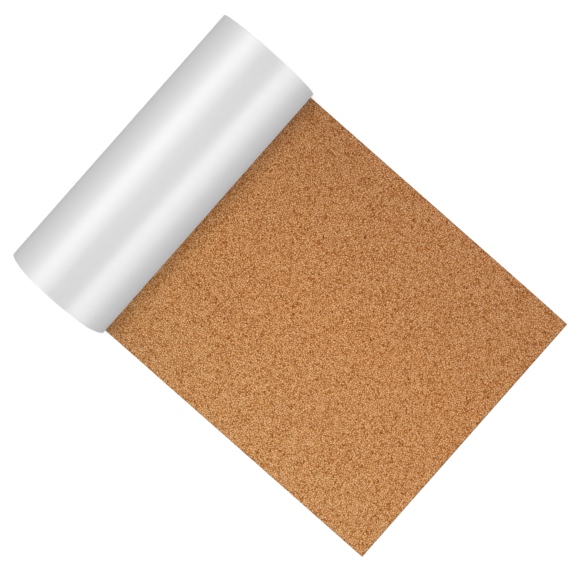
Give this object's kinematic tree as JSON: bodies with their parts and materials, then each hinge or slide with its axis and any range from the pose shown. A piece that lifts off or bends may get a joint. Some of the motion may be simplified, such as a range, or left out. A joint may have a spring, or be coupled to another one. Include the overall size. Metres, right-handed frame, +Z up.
{
  "type": "cork underlayment roll",
  "caption": "Roll of thin cork underlayment with a white film on its back, wound film side out round an open bore, with a length unrolled flat, cork side up.",
  "frame": {"origin": "on the floor, in the middle of the whole object's footprint", "axes": "+X along the unrolled length, away from the roll; +Y along the roll's axis; +Z up"},
  "size_m": [0.7306, 0.5, 0.1864],
  "materials": {
    "cork": "matte",
    "film": "satin"
  },
  "bodies": {
    "root": {"cork_sheet": "cork", "backing_film": "film"}
  },
  "joints": []
}
